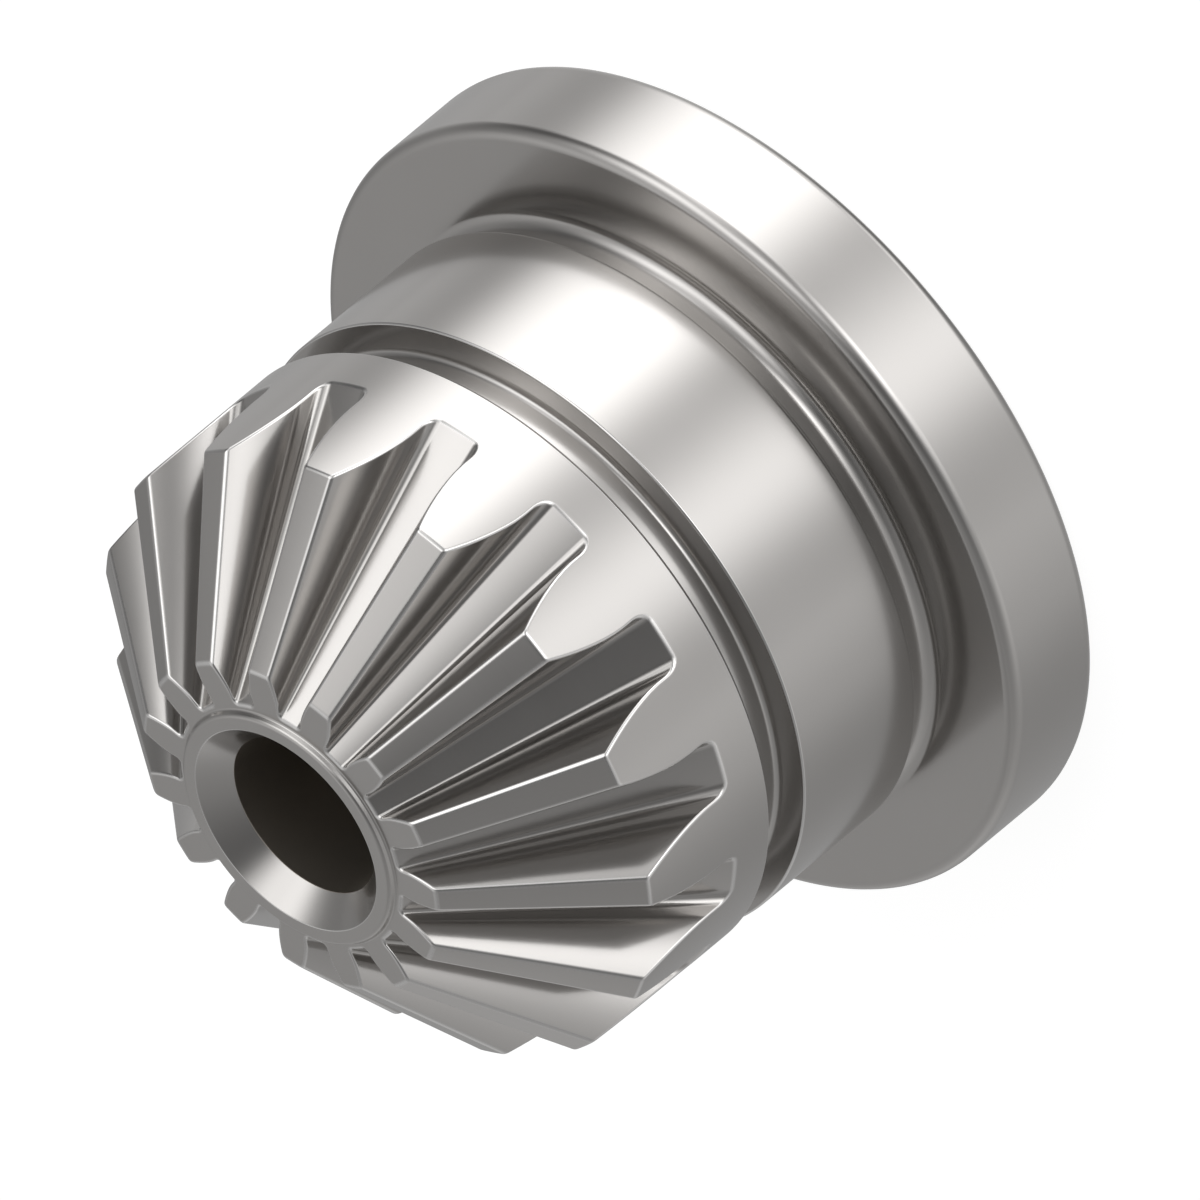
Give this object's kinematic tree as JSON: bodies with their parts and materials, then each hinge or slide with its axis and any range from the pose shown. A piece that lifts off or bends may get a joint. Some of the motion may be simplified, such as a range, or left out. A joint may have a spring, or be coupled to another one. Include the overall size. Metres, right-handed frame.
{
  "type": "bevel gear",
  "caption": "Straight bevel gear with a bearing journal, a ring groove and a wide flange behind the teeth, a plain bore and a raised collar round its mouth.",
  "frame": {"origin": "centre of the bore on the flange's back face", "axes": "+Z along the bore axis, from the flange towards the small ends of the teeth; +X through the middle of a tooth"},
  "size_m": [0.0442, 0.0442, 0.0344],
  "materials": {
    "steel": "satin, fine machined finish, uncoated"
  },
  "bodies": {
    "root": {"bevel_gear": "steel"}
  },
  "joints": []
}
